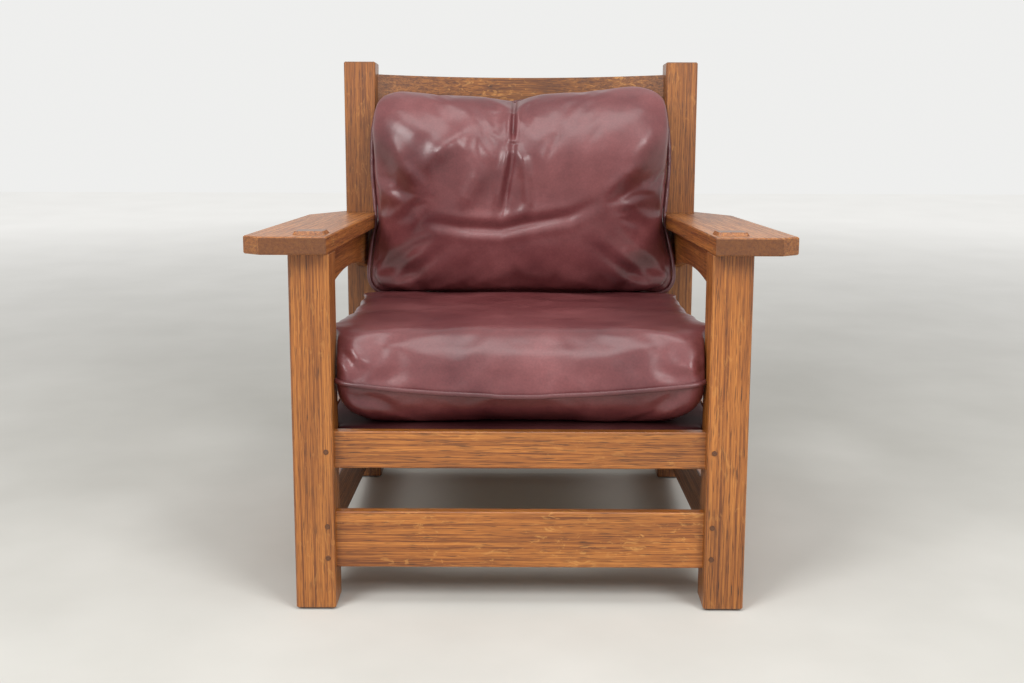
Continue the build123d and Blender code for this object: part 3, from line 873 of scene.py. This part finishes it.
# %% The back cushion on the seat
def press_onto(upper, lower, gap, search=0.12):
    """Moves the points of one soft piece that are inside another out to its surface."""
    tree = BVHTree.FromObject(lower, bpy.context.evaluated_depsgraph_get())
    points = read_points(upper)
    pressed = 0
    for number, point in enumerate(points):
        spot, normal, _, distance = tree.find_nearest(Vector(point), search)
        if spot is not None and (Vector(point) - spot).dot(normal) < gap:
            points[number] = spot + normal * gap
            pressed += 1
    write_points(upper, points)
    return pressed


bpy.context.view_layer.update()
pressed = press_onto(back_cushion, seat_cushion, clear)
print("points of the back cushion that rest on the seat:", pressed)

# %% The cords along the seams
def welt(name, cushion, seam, place, radius, proud):
    """A round cord of leather laid along a cushion's seam."""
    ring = seam_ring(cushion, seam, place)
    along = np.roll(ring, -1, axis=0) - np.roll(ring, 1, axis=0)
    outward = np.stack([along[:, 1], -along[:, 0], np.zeros(len(ring))], axis=1)
    outward /= np.linalg.norm(outward, axis=1, keepdims=True)
    outward *= np.sign((outward * ring).sum(1, keepdims=True))
    curve = bpy.data.curves.new(name, "CURVE")
    curve.dimensions = "3D"
    spline = curve.splines.new("NURBS")
    spline.points.add(len(ring) - 1)
    for knot, point in zip(spline.points, to_room(ring + outward * proud, place)):
        knot.co = (*point, 1)
    spline.order_u = 4
    spline.use_cyclic_u = True
    curve.bevel_depth = radius
    curve.bevel_resolution = 4
    cord = bpy.data.objects.new(name, curve)
    bpy.context.scene.collection.objects.link(cord)
    select_only(cord)
    bpy.ops.object.convert(target="MESH")
    cord = bpy.context.object
    bpy.ops.object.shade_smooth()
    return cord


welt_radius = 0.0044
seat_proud, back_proud = 0.0050, 0.0046
seat_welt = welt("seat_cushion_welt", seat_cushion, seat_seam, seat_frame, welt_radius, seat_proud)
back_welt = welt("back_cushion_welt", back_cushion, back_seam, back_frame, welt_radius, back_proud)
squeeze(seat_welt, room_beside_seat, spare=0.0012, softness=0.0015)
squeeze(back_welt, room_beside_back, spare=0.0012, softness=0.0015)
print("welts:", len(seat_welt.data.polygons), len(back_welt.data.polygons))

# %% [markdown]
# The folds that pressure alone doesn't give are pressed in: a groove runs along a line of
# points on the cushion's face, deepest in its middle, with a soft ridge on each side of it.
# A sewn dart closes the top of the back cushion, and under it the leather falls open in a
# fan and ends on a long shelf above the belly.

# %% How a fold is pressed in
def distance_along(points, line):
    """How far points of a plane are from a line of points, and how far along it."""
    best = np.full(len(points), np.inf)
    share = np.zeros(len(points))
    count = len(line) - 1
    for number in range(count):
        start, end = np.array(line[number]), np.array(line[number + 1])
        reach = end - start
        t = np.clip((points - start) @ reach / (reach @ reach), 0, 1)
        distance = np.linalg.norm(points - start - t[:, None] * reach, axis=1)
        nearer = distance < best
        best = np.where(nearer, distance, best)
        share = np.where(nearer, (number + t) / count, share)
    return best, share


def press_fold(local, line, depth, width, ridge, ends, front=False, crisp=False):
    """Presses a groove into the upper or the front face of a cushion, along a line on it.

    The ridge is a share of the depth, and the ends are the shares of the line's length over
    which the groove fades in and out. A negative depth raises a swell instead.
    """
    a, b, c, side = (0, 2, 1, -1) if front else (0, 1, 2, 1)
    face_starts = 0.25 if front else 0
    distance, share = distance_along(local[:, [a, b]], line)
    fade = ramp_up(share, 0, ends[0]) * ramp_up(1 - share, 0, ends[1])
    middle = np.exp(-distance / width) if crisp else bump_shape(distance, width)
    groove = middle - ridge * bump_shape(distance - 2.1 * width, width)
    facing = ramp_up(side * local[:, c], face_starts, 0.03)
    local[:, c] -= side * depth * fade * groove * facing


print("fold helpers ready")

# %% Uneven skin
coarse_scale, fine_scale = 11, 34


def undulate(cushion, coarse, fine):
    """Raises and lowers the skin a little, as old leather never lies quite flat."""
    count = len(cushion.data.vertices)
    normals = np.empty(3 * count)
    cushion.data.vertices.foreach_get("normal", normals)
    points = read_points(cushion)
    broad = np.array([noise.noise(Vector(point) * coarse_scale) for point in points])
    narrow = np.array([noise.noise(Vector(point) * fine_scale) for point in points])
    lift = coarse * broad + fine * narrow
    write_points(cushion, points + normals.reshape(-1, 3) * lift[:, None])


for cushion in (seat_cushion, back_cushion):
    apply_modifier(cushion, "SUBSURF", levels=1, render_levels=1)
    undulate(cushion, coarse=0.0016, fine=0.0005)
print("points of the two skins:", [len(c.data.vertices) for c in (seat_cushion, back_cushion)])

# %% Folds of the back
dart = [(-0.012, 0.184), (-0.013, 0.142), (-0.0145, 0.101), (-0.016, 0.060)]
open_fold = [(-0.014, 0.066), (-0.022, 0.004), (-0.038, -0.096)]
fan_left = [(-0.017, 0.060), (-0.034, 0.004), (-0.055, -0.088)]
fan_right = [(-0.004, 0.060), (0.012, -0.010), (0.016, -0.058), (-0.002, -0.090)]
shelf = [
    (-0.200, -0.092),
    (-0.124, -0.104),
    (-0.040, -0.108),
    (0.004, -0.098),
    (0.098, -0.082),
    (0.165, -0.052),
]
left_fold = [(-0.295, 0.060), (-0.264, 0.002), (-0.220, -0.050)]
right_fold = [(0.175, -0.062), (0.225, -0.026), (0.290, 0.018)]
low_left_fold = [(-0.304, -0.160), (-0.257, -0.185), (-0.190, -0.205)]
low_right_fold = [(0.320, -0.150), (0.270, -0.180), (0.200, -0.203)]
high_swell = [(-0.087, 0.108), (-0.141, 0.059), (-0.199, 0.005)]
mid_swell = [(-0.074, 0.020), (-0.099, -0.032), (-0.122, -0.075)]
right_swell = [(0.289, 0.100), (0.233, 0.032), (0.185, -0.045)]

# line, depth, width, ridge and ends of each fold, in metres and in shares
back_folds = [
    (open_fold, 0.008, 0.007, 0.0, (0.05, 0.3)),
    (fan_left, -0.006, 0.009, 0.2, (0.15, 0.25)),
    (fan_right, -0.005, 0.010, 0.2, (0.15, 0.35)),
    (shelf, 0.009, 0.010, 0.25, (0.25, 0.35)),
    (left_fold, 0.009, 0.014, 0.6, (0.3, 0.3)),
    (right_fold, 0.006, 0.012, 0.5, (0.3, 0.3)),
    (low_left_fold, 0.007, 0.018, 0.4, (0.15, 0.15)),
    (low_right_fold, 0.007, 0.018, 0.4, (0.15, 0.15)),
    (high_swell, -0.007, 0.018, 0.25, (0.3, 0.3)),
    (mid_swell, -0.005, 0.015, 0.25, (0.3, 0.3)),
    (right_swell, -0.008, 0.026, 0.2, (0.3, 0.3)),
]
local = to_local(read_points(back_cushion), back_frame)
press_fold(local, dart, depth=0.014, width=0.004, ridge=0.3, ends=(0.01, 0.2), crisp=True)
for line, depth, width, ridge, ends in back_folds:
    press_fold(local, line, depth, width, ridge, ends)
write_points(back_cushion, to_room(local, back_frame))
print("folds pressed into the back:", 1 + len(back_folds))

# %% Folds of the seat
seat_folds = [
    [(-0.300, 0.065), (-0.285, 0.048), (-0.266, 0.026)],
    [(0.292, 0.058), (0.300, 0.035), (0.296, 0.015)],
    [(-0.290, -0.008), (-0.262, -0.020), (-0.230, -0.040)],
    [(-0.268, -0.006), (-0.236, -0.018), (-0.205, -0.036)],
    [(0.262, -0.010), (0.240, -0.024), (0.215, -0.040)],
]
local = to_local(read_points(seat_cushion), seat_frame)
for line in seat_folds:
    press_fold(local, line, depth=0.004, width=0.008, ridge=0.7, ends=(0.3, 0.4), front=True)
write_points(seat_cushion, to_room(local, seat_frame))
print("folds pressed into the seat:", len(seat_folds))

# %% Finishing the cushions
for cushion in (seat_cushion, back_cushion):
    select_only(cushion)
    bpy.ops.object.shade_smooth()
    cushion.data.materials.append(cushion_leather)
for cord in (seat_welt, back_welt):
    cord.data.materials.append(painted_shade_welt_leather)
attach(seat_cushion, "seat_cushion")
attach(seat_welt, "seat_cushion")
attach(back_cushion, "back_cushion")
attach(back_welt, "back_cushion")
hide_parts("seat_cushion", "seat_cushion_core")
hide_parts("back_cushion", "back_cushion_core")
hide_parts("seat_cushion_piping")
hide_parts("back_cushion_piping")
print("cushions finished")

# %% [markdown]
# ## The drop-in deck
# Under the seat cushion lies a flat deck: straps each way across a wooden frame, a felt pad
# on them, and leather over the pad. From above only a strip of its leather shows, but from
# below the straps do, so they are woven over and under each other here.

# %% Leather and felt of the deck
slab_voxel = 0.005


def worn_slab(new_name):
    """The skin of the deck's flat pad with its edges worn round."""
    slab = outer_skin("deck_pad", new_name)
    even_skin(slab, slab_voxel, passes=5)
    select_only(slab)
    bpy.ops.object.shade_smooth()
    return slab


recipe = Recipe("pad_felt")
fuzz = recipe.noise(recipe.place, scale=900, detail=3)
felt_grey = recipe.ramp(fuzz, [(0.3, (0.30, 0.27, 0.23)), (0.7, (0.46, 0.42, 0.36))])
felt = recipe.finish(Base_Color=felt_grey, Roughness=0.95)
deck_felt = worn_slab("deck_felt")

hide_thickness = 0.0015
hide_hem = 0.001
pad_bottom = square_box("deck_pad")[0][2]
deck_leather = worn_slab("deck_leather")
apply_modifier(deck_leather, "DISPLACE", strength=hide_thickness, mid_level=0)
select_only(deck_leather)
bpy.ops.object.mode_set(mode="EDIT")
bpy.ops.mesh.select_all(action="SELECT")
bpy.ops.mesh.bisect(
    plane_co=lean_matrix @ Vector((0, 0, pad_bottom + hide_hem)),
    plane_no=lean_matrix @ Vector((0, 0, 1)),
    clear_inner=True,
)
bpy.ops.object.mode_set(mode="OBJECT")
apply_modifier(deck_leather, "SOLIDIFY", thickness=0.8 * hide_thickness, offset=-1)

for slab, material, slot, node in (
    (deck_felt, felt, "pad_felt", "deck_pad"),
    (deck_leather, painted_shade_deck_hide, "oxblood_leather", "deck_cover"),
):
    slab.data.materials.append(material)
    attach(slab, "frame")
    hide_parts(node)
print("deck slabs:", len(deck_leather.data.polygons), len(deck_felt.data.polygons))

# %% Woven straps of the deck
ribs_per_metre = 420.0
recipe = Recipe("webbing_jute")
yarn = recipe.noise(recipe.place, scale=900, detail=2)
jute_tone = recipe.ramp(yarn, [(0.3, (0.36, 0.27, 0.16)), (0.7, (0.55, 0.43, 0.27))])
ribs = recipe.add("TexVoronoi", {"Vector": recipe.place, "Scale": ribs_per_metre})
rib_height = ribs.outputs["Distance"]
rib_bump = recipe.add("Bump", {"Height": rib_height, "Strength": 0.5, "Distance": 0.0006})
jute = recipe.finish(Base_Color=jute_tone, Roughness=0.9, Normal=rib_bump.outputs["Normal"])

net_low, net_high = square_box("deck_webbing")
net_middle = (net_low + net_high) / 2
net_half = (net_high - net_low) / 2
strap_half_width = 0.025
strap_thickness = 0.0009
weave_height = 0.0005
strap_counts = (6, 7)


def strap(along, number):
    """One strap along X or Y, which passes over and under the straps that cross it."""
    across = 1 - along
    bpy.ops.mesh.primitive_grid_add(x_subdivisions=90, y_subdivisions=4, size=2)
    ribbon = bpy.context.object
    run, side, _ = read_points(ribbon).T
    crossing = (run + 1) / 2 * strap_counts[along] - 0.5
    sign = 1 if along == 0 else -1
    square = np.empty((len(run), 3))
    square[:, along] = net_middle[along] + run * net_half[along]
    step = 2 * net_half[across] / strap_counts[across]
    square[:, across] = net_low[across] + step * (number + 0.5) + side * strap_half_width
    square[:, 2] = net_middle[2] + sign * weave_height * np.cos(pi * (crossing + number))
    write_points(ribbon, from_square(square))
    apply_modifier(ribbon, "SOLIDIFY", thickness=strap_thickness, offset=0)
    return ribbon


straps = [strap(along, n) for along in (0, 1) for n in range(strap_counts[1 - along])]
select_only(straps[0])
for ribbon in straps:
    ribbon.select_set(True)
bpy.ops.object.join()
deck_straps = bpy.context.object
deck_straps.name = "deck_straps"
deck_straps.data.materials.append(jute)
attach(deck_straps, "frame")
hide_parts("deck_webbing")
print("straps:", len(straps), "faces:", len(deck_straps.data.polygons))
